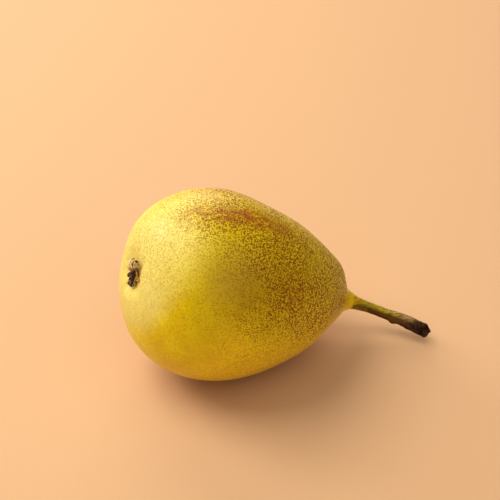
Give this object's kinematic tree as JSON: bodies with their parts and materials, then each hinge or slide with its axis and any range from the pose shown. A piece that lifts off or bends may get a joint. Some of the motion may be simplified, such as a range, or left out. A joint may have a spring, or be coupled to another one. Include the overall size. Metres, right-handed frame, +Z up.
{
  "type": "pear",
  "caption": "Short, full-bellied yellow-green pear lying on its side, with a curved woody stem and a dried calyx of curled sepals.",
  "frame": {"origin": "centre of the small flat spot on the fruit's underside that it rests on", "axes": "+Z up; the fruit's long axis lies in the XZ plane, with the stem end towards +X and slightly down and the blossom end towards -X and up"},
  "size_m": [0.115, 0.0692, 0.0707],
  "materials": {
    "skin": "thin waxy pear skin, soft satin gloss: lemon yellow at the blossom end, olive towards the stem, with dark brown lenticels and a reddish russet band",
    "stem_bark": "matte stalk: yellow-green near the fruit, grey-brown and corky towards the broken end",
    "dried_sepal": "dry, thin and curled, tan to dark brown, matte",
    "dried_stamen": "dry, dark brown, matte"
  },
  "bodies": {
    "root": {"fruit": "skin", "stem": "stem_bark", "sepal_1": "dried_sepal", "sepal_2": "dried_sepal", "sepal_3": "dried_sepal", "sepal_4": "dried_sepal", "sepal_5": "dried_sepal", "stamen_tuft": "dried_stamen"}
  },
  "joints": []
}
